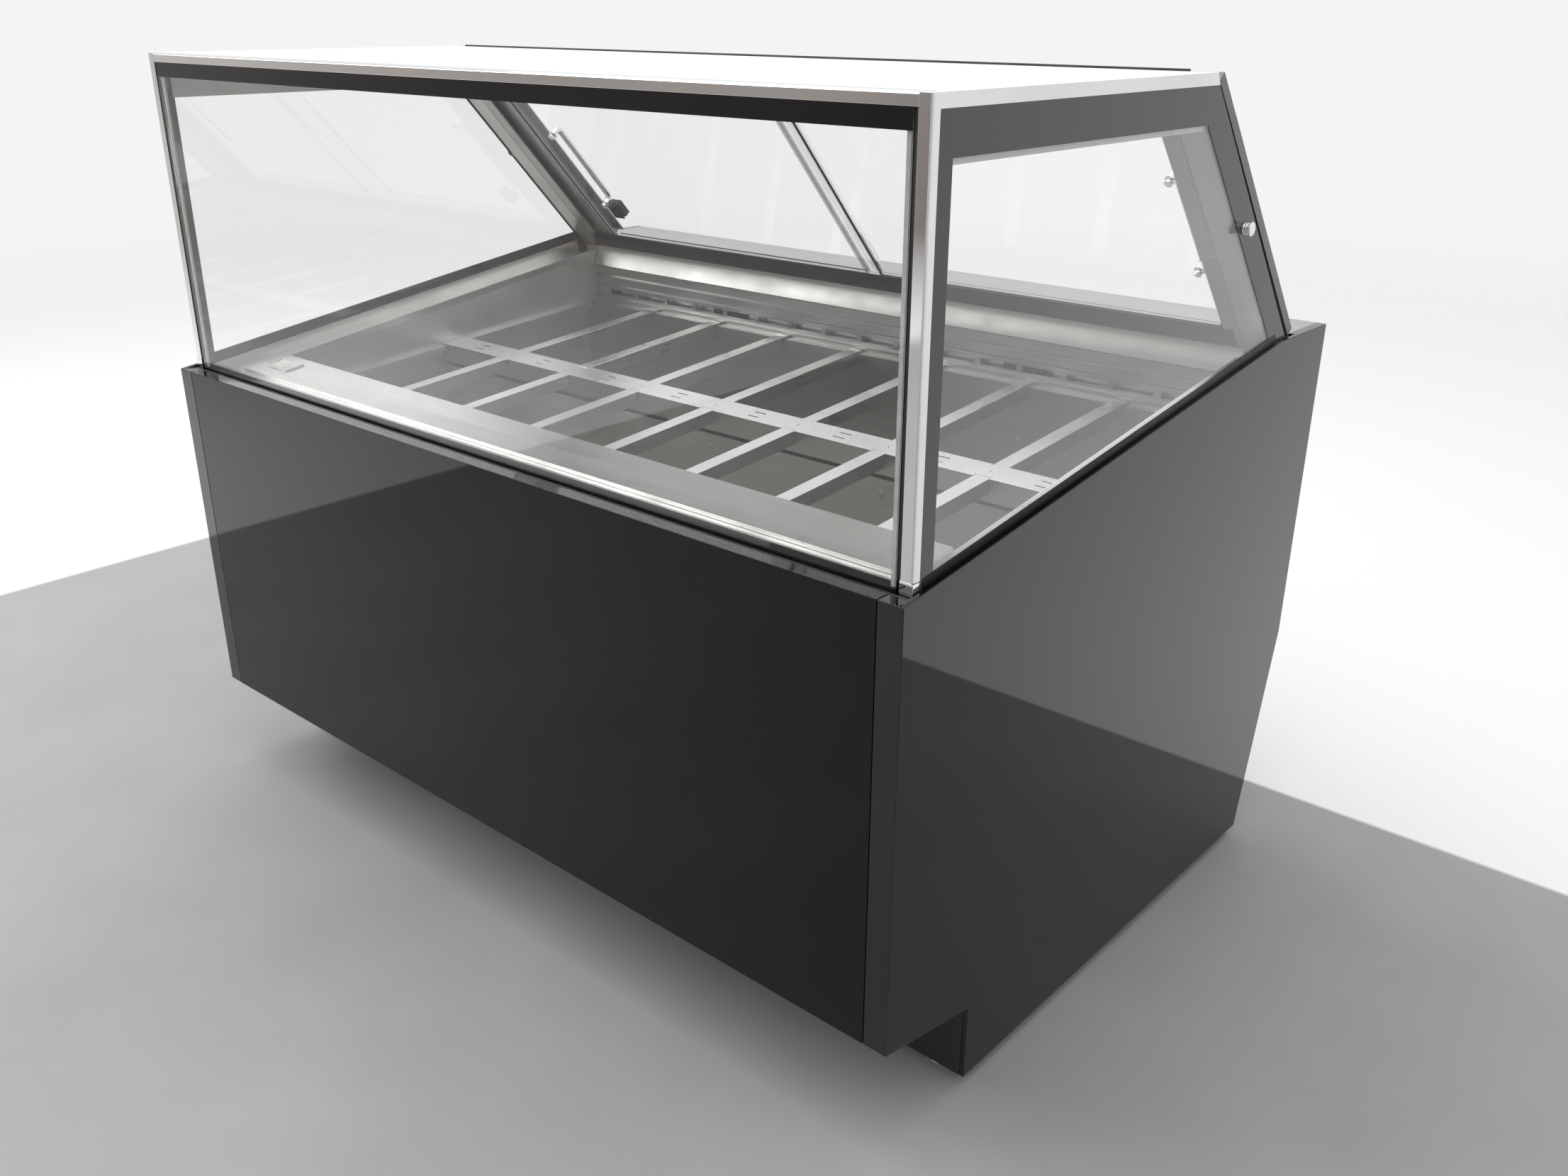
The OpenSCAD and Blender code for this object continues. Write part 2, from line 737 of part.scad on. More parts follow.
// Discharge and suction pipes, and the receiver that stands between them
module refrigerant_line() {
    x = compressor_x;
    front = -body_d / 2;
    base = foot_h + frame_tube;
    run_h = 330;
    coil_h = tub_floor_h + 45;
    line_h = base + 120;
    line_y = front + compressor_d - 110;
    color(copper) {
        pipe_run([[x, front + compressor_d, base + 201.3], [x, front + compressor_d, run_h],
                  [x, front + riser_d, run_h], [riser_x, front + riser_d, run_h],
                  [riser_x, front + riser_d, coil_h], [riser_x, front + coil_d, coil_h],
                  [riser_x - 60.5, front + coil_d, coil_h]], 5);
        pipe_run([[x, line_y + 23, line_h], [x, line_y, line_h], [receiver_x, line_y, line_h],
                  [receiver_x, front + condenser_d, line_h],
                  [condenser_x + 179, front + condenser_d, line_h]], 4);
    }
    color(matt_black) translate([receiver_x, front + receiver_d, base]) {
        cylinder(h = 90, r = 38);
        translate([0, 0, 90]) cylinder(h = 12, r1 = 38, r2 = 20);
    }
}

// ---- Electrics ---------------------------------------------------------------------------

module electric_box() {
    color(grey_paint) {
        block([330, 560], [700, 820], [foot_h + frame_tube, 240]);
        block([326, 564], [696, 824], [240, 246]);
    }
}

// Cable gland at the operator's side; the lead itself is left out
module power_inlet() {
    color(rubber_black) place(0, body_d - rear_tuck, foot_h) rotate([-tuck_deg, 0, 0])
        translate([gland_x, 12, gland_h]) rotate([90, 0, 0]) difference() {
            union() {
                cylinder(h = 8, r = 16, $fn = 6);
                translate([0, 0, 8]) cylinder(h = 6, r = 17);
                cylinder(h = 34, r = gland_r);
            }
            translate([0, 0, -1]) cylinder(h = 40, r = 5);
        }
}

module control_panel() {
    x = controls_x;
    color(matt_black) difference() {
        union() {
            block([x - controls_w / 2, x + controls_w / 2], [body_d - 2, body_d],
                  [controls_h - controls_tall / 2, controls_h + controls_tall / 2]);
            block([x - controls_w / 2 + 8, x + controls_w / 2 - 8], [body_d - 30, body_d - 1],
                  [controls_h - controls_tall / 2 + 8, controls_h + controls_tall / 2 - 8]);
        }
        // display window
        block([x - 90, x - 20], [body_d - 1, body_d + 1], [controls_h - 4, controls_h + 26]);
        for (i = [0 : 2]) place(button_x + i * button_pitch, body_d - 6, button_row_h)
            rotate([-90, 0, 0]) cylinder(h = 20, r = button_r + 0.3);
        for (i = [0, 1]) {
            cx = switch_x + i * switch_pitch;
            block([cx - 16, cx + 16], [body_d - 16, body_d + 1], [controls_h - 13, controls_h + 13]);
            place(cx, body_d - 5, controls_h) rotate([0, 90, 0])
                cylinder(h = 36, r = axle_r + 0.05, center = true);
        }
    }
}

module controller_button(i) {
    color(satin_white) place(button_x + i * button_pitch, body_d - 4.2, button_row_h)
        rotate([-90, 0, 0]) cylinder(h = 5.7, r = button_r);
}

// Rocker switch cap, tilted to its off side about an axle along x
module rocker(i) {
    cx = switch_x + i * switch_pitch;
    color(rubber_black) place(cx, body_d - 5, controls_h) rotate([-rocker_tilt, 0, 0]) {
        difference() {
            translate([-15, -3.5, -10.5]) cube([30, 8, 21]);
            translate([0, 34, 0]) rotate([0, 90, 0]) cylinder(h = 40, r = 31, center = true, $fn = 96);
        }
        rotate([0, 90, 0]) cylinder(h = 35, r = axle_r, center = true);
    }
}

// ---- Canopy ---------------------------------------------------------------------------------

// Flat top, with a flange inside each side pane
module top_panel() {
    x = canopy_x - trim_t;
    front = glass_setback + lip_d;
    color(satin_white) {
        block([-x, x], [front, canopy_top_d - 16], [canopy_h - 12, canopy_h]);
        both_sides() block([x - 5, x - 2], [front, canopy_top_d - 30], [window_top_h - 7, canopy_h - 11]);
    }
}

// Polished profile along the top front edge
module top_front_profile() {
    color(polished) side_extrude(-corner_x, corner_x) polygon([
        [glass_setback - 0.5, canopy_h - front_lip_h], [glass_setback - 0.5, canopy_h - 2],
        [glass_setback + 1.5, canopy_h], [glass_setback + lip_d, canopy_h],
        [glass_setback + lip_d, canopy_h - 12], [glass_setback + glass_t + 1, canopy_h - 12],
        [glass_setback + glass_t + 1, canopy_h - front_lip_h]
    ]);
    // returns behind the corner profiles
    color(polished) for (s = [-1, 1]) block(
        s > 0 ? [corner_x, canopy_x - trim_t] : [-canopy_x + trim_t, -corner_x],
        [glass_setback + 10, glass_setback + lip_d], [canopy_h - 12, canopy_h]);
}

// Upright channel at a front corner, in a shoe at its foot
module corner_profile_right() {
    x = corner_x;
    foot = front_h - 4;
    color(polished) {
        difference() {
            block([x, x + corner_w], [glass_setback - 0.5, glass_setback + 10], [foot, canopy_h]);
            block([x + 1.5, x + corner_w - 1.5], [glass_setback + 1, glass_setback + 11],
                  [foot + shoe_h, canopy_h - 1.5]);
        }
        block([x - 1, canopy_x], [glass_setback - 1.2, glass_setback + 10], [foot, front_h + shoe_h - 1]);
    }
}

module corner_profile_left() {
    mirror([1, 0, 0]) corner_profile_right();
}

// Satin trims: an upright at each front corner, mitred to a bar along the top
module side_trims() {
    front = glass_setback + 1;
    low = front_h + shoe_h;
    color(satin_white) both_sides() difference() {
        side_extrude(canopy_x - trim_t, canopy_x) polygon([
            [front, low], [front, canopy_h], [canopy_top_d - 16, canopy_h],
            [rear_d_at(canopy_h - trim_h, post_t + post_gap), canopy_h - trim_h],
            [front + trim_front_w, canopy_h - trim_h], [front + trim_front_w, low]
        ]);
        block([0, canopy_x - 3], [0, glass_setback + 11], [0, canopy_h + 1]);
    }
}

module front_glass() {
    half = corner_x - corner_gap;
    color(clear_glass) block([-half, half], [glass_setback, glass_setback + glass_t],
                             [front_glass_h, canopy_h - front_lip_h]);
}

// Side view of a side pane
module side_pane_outline() {
    inset = post_t + post_gap;
    front = glass_setback + 1 + trim_front_w;
    rear = slope_meets_rear(-seat_depth + 8, inset);
    polygon([
        [front, slope_h(front, -seat_depth)], [front, canopy_h - trim_h],
        [rear_d_at(canopy_h - trim_h, inset), canopy_h - trim_h],
        [rear, slope_h(rear, -seat_depth)]
    ]);
}

// Side view of the clear window inside the printed border
module window_outline() {
    rear = slope_meets_rear(window_lift, window_rear_inset);
    polygon([
        [window_front_d, slope_h(window_front_d, window_lift)], [window_front_d, window_top_h],
        [rear_d_at(window_top_h, window_rear_inset), window_top_h],
        [rear, slope_h(rear, window_lift)]
    ]);
}

module side_glass_right() {
    color(clear_glass) difference() {
        side_extrude(glass_x - glass_t, glass_x) side_pane_outline();
        place(0, knob_d, knob_h) rotate([0, 90, 0]) cylinder(h = body_w, r = knob_stud_r);
    }
}

module side_glass_left() {
    mirror([1, 0, 0]) side_glass_right();
}

// Dark printed borders, as films on the inner faces of the glass
module glass_borders() {
    half = corner_x - corner_gap;
    inner = glass_x - glass_t;
    back = glass_setback + glass_t;
    color(border_grey) {
        block([-half, half], [back, back + border_t], [band_low_h, canopy_h - front_lip_h]);
        both_sides() difference() {
            side_extrude(inner - border_t, inner) side_pane_outline();
            side_extrude(inner - 2, inner + 1) window_outline();
            place(0, knob_d, knob_h) rotate([0, 90, 0]) cylinder(h = body_w, r = 8.5);
        }
    }
}

// Sloping frame posts, with the strip that shows behind each side pane
module rear_posts() {
    wall = 3;
    inner = door_edge_x + 1;
    outer = glass_x - glass_t - 1;
    bottom = 480;
    groove_x = door_edge_x + 10;
    color(grey_paint) both_sides() difference() {
        on_rear() {
            difference() {
                slab([inner, outer], [header_v, bottom], [-post_depth, 0]);
                slab([inner + wall, outer - wall], [header_v + wall, bottom + 1],
                     [-post_depth + wall, -wall]);
            }
            slab([outer, canopy_x], [header_v, bottom], [-post_t, 0]);
            slab([inner, outer], [post_head_v, header_v], [-post_depth, -post_t - seam]);
            slab([inner - post_front_lip, inner], [post_head_v, bottom], [-post_depth, -post_depth + wall]);
            slab([inner - post_rear_lip, inner], [header_v, bottom], [-2, 0]);
        }
        // groove down the middle of the inner face
        on_rear() slab([groove_x, groove_x + 1.5], [0, bottom], [-post_depth - 1, -post_depth + 1]);
        block([0, inner], [0, body_d], [0, rail_high_h + 0.5]);
        block([0, body_w], [0, body_d], [0, rear_h - worktop_t]);
        block([0, tub_half_w], [0, duct_d + 12], [0, rail_low_h]);
        place(0, knob_d, knob_h) rotate([0, 90, 0]) cylinder(h = body_w, r = knob_stud_r);
    }
}

// Space that a door's edge slides in, from row v0 to v1
module door_channel(w, v0, v1) {
    mid = w - door_glass_t / 2;
    reach = stile_t / 2 + 1;
    slab([-door_edge_x - 1, door_edge_x + 1], [v0, v1], [mid - reach, mid + reach]);
}

// Top frame member with the two upper door tracks
module rear_header() {
    color(grey_paint) difference() {
        on_rear() {
            slab([-canopy_x, canopy_x], [0, header_v], [-post_t, 0]);
            slab([-door_edge_x, door_edge_x], [18, header_v - 12], [-header_depth, -post_t + 1]);
        }
        block([-body_w, body_w], [0, canopy_top_d - 16], [0, 2 * canopy_h]);
        for (w = [right_door_w, left_door_w]) on_rear() door_channel(w, door_top_v - 8, 100);
    }
}

// Bottom frame member with the two lower door tracks
module door_track() {
    half = door_edge_x + 1;
    low = rear_h - worktop_t;
    color(matt_black) difference() {
        side_extrude(-half, half) polygon([
            [rail_front_d, rail_low_h], [rail_front_d, rail_high_h - 1], [rail_front_d + 1, rail_high_h],
            [worktop_front_d - 4, rear_h + 3], [worktop_front_d, rear_h + 1], [worktop_front_d, low],
            [duct_d + 12, low], [duct_d + 12, rail_low_h]
        ]);
        for (w = [right_door_w, left_door_w]) on_rear() door_channel(w, 300, door_bottom_v(w) + 0.5);
    }
}

module lamp_bar() {
    color(satin_white) block([-650, 650], [glass_setback + 12, glass_setback + 30],
                             [canopy_h - 30, canopy_h - 12]);
}

// ---- Doors -----------------------------------------------------------------------------------

// Row of a door's bottom edge, for its glass at depth w
function door_bottom_v(w) = (canopy_h - door_bottom_h + w * cos(rear_deg)) / sin(rear_deg);

// Glass of a door at depth w, drilled for its handle
module door_glass_shape(w, ends, handle_x, handle_v) {
    difference() {
        slab(ends, [door_top_v, door_bottom_v(w)], [w - door_glass_t, w]);
        for (v = [handle_v, handle_v + handle_span])
            translate([handle_x, v, w - 20]) cylinder(h = 40, r = 3);
    }
}

// Channel round the outer edge of the left-hand door
module door_stile_shape(w) {
    mid = w - door_glass_t / 2;
    difference() {
        slab([-door_edge_x, -door_edge_x + stile_w], [door_top_v - 2, door_bottom_v(w)],
             [mid - stile_t / 2, mid + stile_t / 2]);
        slab([-door_edge_x + 4, 0], [0, 600], [w - door_glass_t - 0.05, w + 0.05]);
    }
}

// Quarter bend of the handle's bar, from +x to +z
module handle_bend(r) {
    rotate([90, 0, 0]) rotate_extrude(angle = 90) translate([r, 0]) circle(r = handle_r);
}

// D-shaped bar on two feet, clamped through the glass
module door_handle_shape(w, x, v) {
    bend = 10;
    rise = handle_h - handle_r;
    translate([x, v, w]) {
        for (end = [0, handle_span]) translate([0, end, 0]) {
            translate([0, 0, 0.1]) cylinder(h = rise - bend - 0.1, r = handle_r);
            translate([0, 0, 0.1]) cylinder(h = 2, r = 8);
            translate([0, 0, -door_glass_t - 3.5]) cylinder(h = door_glass_t + 4, r = 2.9);
            translate([0, 0, -door_glass_t - 3.5]) cylinder(h = 3.4, r = 6);
        }
        translate([0, bend, rise]) rotate([-90, 0, 0]) cylinder(h = handle_span - 2 * bend, r = handle_r);
        translate([0, bend, rise - bend]) rotate([0, 0, -90]) handle_bend(bend);
        translate([0, handle_span - bend, rise - bend]) rotate([0, 0, 90]) handle_bend(bend);
    }
}

module left_door_glass() {
    ends = [-door_edge_x + 4, left_door_end];
    color(clear_glass) on_rear() difference() {
        door_glass_shape(left_door_w, ends, left_handle_x, left_handle_v);
        translate([lock_x, lock_v, left_door_w - 10]) cylinder(h = 20, r = 4);
    }
}

module left_door_stile() {
    color(grey_paint) on_rear() door_stile_shape(left_door_w);
}

module left_door_handle() {
    color(polished) on_rear() door_handle_shape(left_door_w, left_handle_x, left_handle_v);
}

// Clear channel on the left-hand door's free edge, with a lip towards the other door
module centre_seal() {
    w = left_door_w;
    end = left_door_end + 3;
    low = door_bottom_v(w) - 24;
    color(clear_glass) on_rear() difference() {
        union() {
            slab([end - seal_w, end], [header_v + 1, low], [w - door_glass_t - 1.6, w + 1.6]);
            slab([22, 24.5], [header_v + 1, low], [w, right_door_w - 10]);
        }
        slab([0, left_door_end + 0.05], [0, 600], [w - door_glass_t - 0.05, w + 0.05]);
    }
}

// Lock clamped on the left-hand door's glass, below the handle
module door_lock() {
    w = left_door_w;
    color(matt_black) on_rear() translate([lock_x, lock_v, 0]) difference() {
        union() {
            slab([-13, 13], [-16, 16], [w + 0.1, w + 13]);
            slab([-13, 13], [-16, 16], [w - door_glass_t - 2.6, w - door_glass_t - 0.1]);
            for (y = [-9, 9]) translate([4, y, w - door_glass_t - 4]) cylinder(h = 2, r = 3.5);
            translate([0, 0, w - door_glass_t - 1]) cylinder(h = 8, r = 3.9);
        }
        translate([0, 0, w + 4]) cylinder(h = 20, r = 6.05);
    }
}

module lock_cylinder() {
    w = left_door_w;
    color(polished) on_rear() translate([lock_x, lock_v, 0]) difference() {
        translate([0, 0, w + 4.2]) cylinder(h = 11, r = 6);
        slab([-3.5, 3.5], [-0.7, 0.7], [w + 9, w + 20]);
    }
}

module right_door_glass() {
    ends = [right_door_end, door_edge_x - 4];
    color(clear_glass) on_rear() door_glass_shape(right_door_w, ends, right_handle_x, right_handle_v);
}

module right_door_stile() {
    color(grey_paint) on_rear() mirror([1, 0, 0]) door_stile_shape(right_door_w);
}

module right_door_handle() {
    color(polished) on_rear() door_handle_shape(right_door_w, right_handle_x, right_handle_v);
}

// Mushroom knob whose stud passes through the side glass
module side_knob_right() {
    stud = knob_stud_r - 0.05;
    color(polished) place(glass_x, knob_d, knob_h) rotate([0, 90, 0]) rotate_extrude($fn = 96) polygon([
        [0, -18], [stud - 0.5, -18], [stud, -17.5], [stud, 0.3], [7.5, 0.3],
        [7.5, 3.5], [6.8, 4], [6.8, 4.7], [7.5, 5.2], [7.5, 6.6], [6.8, 7.1], [6.8, 7.8],
        [7.5, 8.3], [7.5, 9], [6.2, 9.7], [6.2, 10.4], [9.3, 11.6], [9.3, 12.8], [8.4, 13.7], [0, 14.1]
    ]);
}

module side_knob_left() {
    mirror([1, 0, 0]) side_knob_right();
}

base_frame();
levelling_feet();
plinth_front();
front_panel();
side_panel_left();
side_panel_right();
rear_panel();
rear_grille();
rear_worktop();
insulation_tub();
tub_liner();
well_rim();
front_sill();
sill_vent();
glass_gasket();
centre_bar();
centre_partition();
pan_dividers();
rear_duct();
evaporator();
evaporator_fan(-1);  // evaporator_fan_left
evaporator_fan(1);  // evaporator_fan_right
drain_pipe();
compressor();
condenser();
condenser_fan_shroud();
condenser_fan();
refrigerant_line();
electric_box();
power_inlet();
control_panel();
controller_button(0);  // controller_button_up
controller_button(1);  // controller_button_down
controller_button(2);  // controller_button_set
rocker(0);  // power_switch
rocker(1);  // light_switch
top_panel();
top_front_profile();
corner_profile_left();
corner_profile_right();
side_trims();
front_glass();
side_glass_left();
side_glass_right();
glass_borders();
rear_posts();
rear_header();
door_track();
lamp_bar();
left_door_glass();
left_door_stile();
left_door_handle();
centre_seal();
door_lock();
lock_cylinder();
right_door_glass();
right_door_stile();
right_door_handle();
side_knob_left();
side_knob_right();
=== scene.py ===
"""Looks for the ice cream dipping cabinet: finishes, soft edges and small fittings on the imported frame."""

import json
import math
import bmesh
import bpy
from mathutils import Matrix, Vector


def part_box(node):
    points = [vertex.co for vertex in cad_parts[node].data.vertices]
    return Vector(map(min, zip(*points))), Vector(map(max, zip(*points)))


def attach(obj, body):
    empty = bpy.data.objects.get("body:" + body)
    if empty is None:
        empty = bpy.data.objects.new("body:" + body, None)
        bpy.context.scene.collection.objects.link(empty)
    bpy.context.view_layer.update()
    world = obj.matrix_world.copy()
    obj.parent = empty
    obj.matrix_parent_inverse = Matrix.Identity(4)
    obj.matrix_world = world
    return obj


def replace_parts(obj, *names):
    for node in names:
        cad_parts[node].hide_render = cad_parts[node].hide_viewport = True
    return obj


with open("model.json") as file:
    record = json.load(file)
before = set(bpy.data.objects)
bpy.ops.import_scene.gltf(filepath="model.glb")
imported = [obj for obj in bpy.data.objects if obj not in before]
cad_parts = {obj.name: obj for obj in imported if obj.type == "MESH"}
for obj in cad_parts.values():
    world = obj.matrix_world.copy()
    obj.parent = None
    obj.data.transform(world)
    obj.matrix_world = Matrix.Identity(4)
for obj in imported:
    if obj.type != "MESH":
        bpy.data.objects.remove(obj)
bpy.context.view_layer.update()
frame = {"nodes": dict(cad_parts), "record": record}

MM = 0.001


def box_of(node):
    """The low and the high corner of a CAD node's box."""
    return [Vector(corner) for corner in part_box(node)]


def shade(colour, factor):
    return tuple(min(1.0, part * factor) for part in colour)


# ---- Shader node helpers ----------------------------------------------------------------------


class Nodes:
    """Short calls that add nodes to the tree of a material or a world."""

    def __init__(self, tree, coords):
        self.tree = tree
        self.coords = self.node("ShaderNodeTexCoord").outputs[coords]

    def node(self, kind, **settings):
        made = self.tree.nodes.new(kind)
        for key, value in settings.items():
            setattr(made, key, value)
        return made

    def join(self, output, socket):
        self.tree.links.new(output, socket)

    def axes(self):
        """The coordinates' X, Y and Z."""
        split = self.node("ShaderNodeSeparateXYZ")
        self.join(self.coords, split.inputs["Vector"])
        return split.outputs

    def noise(self, scale, stretch=(1, 1, 1), detail=4, rough=0.6):
        """Noise, stretched along an axis by a small number there."""
        mapping = self.node("ShaderNodeMapping")
        mapping.inputs["Scale"].default_value = stretch
        self.join(self.coords, mapping.inputs["Vector"])
        noise = self.node("ShaderNodeTexNoise")
        noise.inputs["Scale"].default_value = scale
        noise.inputs["Detail"].default_value = detail
        noise.inputs["Roughness"].default_value = rough
        self.join(mapping.outputs["Vector"], noise.inputs["Vector"])
        return noise.outputs["Fac"]

    def arithmetic(self, operation, *values):
        made = self.node("ShaderNodeMath", operation=operation)
        for value, socket in zip(values, made.inputs):
            self.join(value, socket)
        return made.outputs["Value"]

    def spread(self, value, low, high, start=0.3, end=0.7, curve="LINEAR"):
        """A value between start and end becomes one between low and high."""
        mapped = self.node("ShaderNodeMapRange", clamp=True, interpolation_type=curve)
        for key, number in (("From Min", start), ("From Max", end), ("To Min", low), ("To Max", high)):
            mapped.inputs[key].default_value = number
        self.join(value, mapped.inputs["Value"])
        return mapped.outputs["Result"]

    def blend(self, factor, first, second):
        """From a first to a second colour, each given as numbers or as an output."""
        mix = self.node("ShaderNodeMix", data_type="RGBA")
        self.join(factor, mix.inputs["Factor"])
        for key, colour in (("A", first), ("B", second)):
            if isinstance(colour, tuple):
                mix.inputs[key].default_value = (*colour, 1)
            else:
                self.join(colour, mix.inputs[key])
        return mix.outputs["Result"]


class Shader(Nodes):
    """A new material with one Principled shader."""

    def __init__(self, name):
        self.material = bpy.data.materials.new(name)
        self.material.use_nodes = True
        super().__init__(self.material.node_tree, "Object")
        self.bsdf = self.tree.nodes["Principled BSDF"]

    def set(self, **values):
        """Constants straight on the shader's own sockets; an underscore stands for a space."""
        for key, value in values.items():
            self.bsdf.inputs[key.replace("_", " ")].default_value = value
        return self

    def link(self, output, socket):
        self.join(output, self.bsdf.inputs[socket])

    def mottle(self, value, colour, low, high):
        """The base colour, between two shades of one colour."""
        tone = self.blend(self.spread(value, 0, 1), shade(colour, low), shade(colour, high))
        self.link(tone, "Base Color")

    def bump(self, height, depth, strength):
        bump = self.node("ShaderNodeBump")
        bump.inputs["Strength"].default_value = strength
        bump.inputs["Distance"].default_value = depth
        self.join(height, bump.inputs["Height"])
        self.link(bump.outputs["Normal"], "Normal")

    def across(self, axis):
        """1 on faces that look along axis, either way, and 0 on the others."""
        dot = self.node("ShaderNodeVectorMath", operation="DOT_PRODUCT")
        dot.inputs[1].default_value = axis
        self.join(self.node("ShaderNodeNewGeometry").outputs["Normal"], dot.inputs[0])
        return self.spread(self.arithmetic("ABSOLUTE", dot.outputs["Value"]), 0, 1, 0.6, 0.8)

    def beyond(self, axis, near, far):
        """0 closer to the middle than near, and 1 farther out than far, measured along one axis."""
        return self.spread(self.arithmetic("ABSOLUTE", self.axes()[axis]), 0, 1, near, far)


# ---- Materials --------------------------------------------------------------------------------


def painted(name, colour, rough, peel=0.02 * MM, ior=1.5):
    """Sprayed metal: faint orange peel, and a thin haze of dust and hand marks."""
    s = Shader(name).set(IOR=ior)
    haze = s.noise(5, detail=6)
    s.mottle(haze, colour, 0.9, 1.12)
    s.link(s.spread(haze, rough * 0.75, rough * 1.35), "Roughness")
    s.bump(s.noise(260, detail=2), peel, 0.5)
    return s.material


def brushed(name, colour, rough, along):
    """Brushed sheet: fine scratches along one axis, and soft smudges over them."""
    s = Shader(name).set(Metallic=1.0, Anisotropic=0.35)
    stretch = tuple(0.012 if axis == along else 1.0 for axis in "xyz")
    grain = s.noise(700, stretch, detail=3, rough=0.7)
    scratches = s.spread(grain, rough * 0.85, rough * 1.15)
    smudges = s.spread(s.noise(9, detail=5), 0.85, 1.35)
    s.mottle(grain, colour, 0.90, 1.06)
    s.link(s.arithmetic("MULTIPLY", scratches, smudges), "Roughness")
    s.bump(grain, 0.01 * MM, 0.6)
    return s.material


def polished(name, colour, rough):
    """Polished metal with faint wipe marks."""
    s = Shader(name).set(Metallic=1.0)
    marks = s.noise(14, detail=6)
    s.mottle(marks, colour, 0.96, 1)
    s.link(s.spread(marks, rough * 0.6, rough * 1.6), "Roughness")
    s.bump(s.noise(40, detail=2), 0.04 * MM, 0.3)
    return s.material


def moulded(name, colour, rough):
    """Moulded plastic or rubber with a fine spark-eroded grain."""
    s = Shader(name)
    cloud = s.noise(60, detail=4)
    s.mottle(cloud, colour, 0.88, 1.1)
    s.link(s.spread(cloud, rough * 0.9, rough * 1.15), "Roughness")
    s.bump(s.noise(1500, detail=2), 0.04 * MM, 0.6)
    return s.material


def pane(name, axis, ior, edge=(0.45, 0.72, 0.62)):
    """Clear float glass, tinted where its edges look out."""
    s = Shader(name).set(Transmission_Weight=1.0, IOR=ior)
    s.link(s.blend(s.across(axis), edge, (0.997, 1.0, 0.999)), "Base Color")
    s.link(s.spread(s.noise(6, detail=5), 0.0, 0.012, 0.45, 0.75), "Roughness")
    return s.material


def printed(name, side, front):
    """Speckled enamel print on glass, in one colour on the side panes and another on the front one."""
    s = Shader(name)
    speckle = s.spread(s.noise(900, detail=2), 0, 1)
    tones = [s.blend(speckle, shade(colour, 0.93), colour) for colour in (side, front)]
    s.link(s.blend(s.across((0, 1, 0)), *tones), "Base Color")
    s.link(s.spread(s.noise(40), 0.05, 0.10), "Roughness")
    return s.material


def banded(s, *zones):
    """Colours side by side: (colour, end) pairs outwards from the middle, the last without an end."""
    soft = 0.5 * MM
    tone = zones[-1][0]
    for colour, end in reversed(zones[:-1]):
        tone = s.blend(s.beyond("X", end - soft, end + soft), colour, tone)
    s.link(tone, "Base Color")


def extruded(name, *zones):
    """Clear extruded plastic, tinted in bands."""
    s = Shader(name).set(Transmission_Weight=0.97, IOR=1.06)
    banded(s, *zones)
    s.link(s.spread(s.noise(200, (1, 1, 0.05)), 0.04, 0.12), "Roughness")
    return s.material


def anodised(name, *zones):
    """Satin aluminium section, anodised in bands; a band lighter than the grey, as on the posts, is painted
    light.
    """
    s = Shader(name).set(Metallic=0.45)
    banded(s, *zones)
    s.link(s.spread(s.noise(5, detail=6), 0.28, 0.44), "Roughness")
    s.bump(s.noise(900, detail=2), 0.01 * MM, 0.4)
    return s.material


def foamed(name, colour):
    """Rigid foam with a skin of closed cells."""
    s = Shader(name)
    cells = s.node("ShaderNodeTexVoronoi")
    cells.inputs["Scale"].default_value = 420
    s.join(s.coords, cells.inputs["Vector"])
    s.mottle(s.noise(12), colour, 0.85, 1)
    s.link(s.spread(cells.outputs["Distance"], 0.7, 0.9, 0, 0.6), "Roughness")
    s.bump(cells.outputs["Distance"], 0.4 * MM, 0.5)
    return s.material


# Slope of the rear frame from level, and the direction that the door panes face
REAR_DEG = 48
REAR_NORMAL = (0, math.sin(math.radians(REAR_DEG)), math.cos(math.radians(REAR_DEG)))

# Places along X where the rear frame and the clear seal change colour
PANE_X = box_of("side_glass_right")[0].x
GROOVE_X = box_of("right_door_stile")[1].x + 10 * MM
SEAL_LOW, SEAL_HIGH = (corner.x for corner in box_of("centre_seal"))

GREY_BAND = (0.42, 0.42, 0.415)
LIT_FACE_BAND = (0.56, 0.55, 0.52)
DARK_BAND = (0.15, 0.146, 0.146)
FINE_PEEL = 0.004 * MM

FRONT_BLACK = painted("gloss_black_front", (0.003, 0.003, 0.0035), 0.022, FINE_PEEL, ior=1.35)
SIDE_BLACK = painted("gloss_black_sides", (0.003, 0.003, 0.0035), 0.022, FINE_PEEL, ior=1.57)
TRACK_BLACK = painted("gloss_black_track", (0.010, 0.010, 0.011), 0.14)
SATIN_BLACK = painted("satin_black_paint", (0.018, 0.018, 0.020), 0.42)
GREY_PAINT = painted("satin_grey_paint", (0.16, 0.16, 0.165), 0.38)
WHITE_PAINT = painted("satin_white_lacquer", (0.92, 0.915, 0.905), 0.30)
# Painted light: a brighter copy of the white lacquer, with a raised reflection, for light the lamps give the
# side trims too little of
LIT_TRIM_WHITE = painted("white_trim_painted_light", (0.96, 0.955, 0.945), 0.22, ior=2.0)
STEEL_X = brushed("brushed_stainless_x", (0.88, 0.87, 0.85), 0.30, "x")
STEEL_Y = brushed("brushed_stainless_y", (0.90, 0.895, 0.88), 0.30, "y")
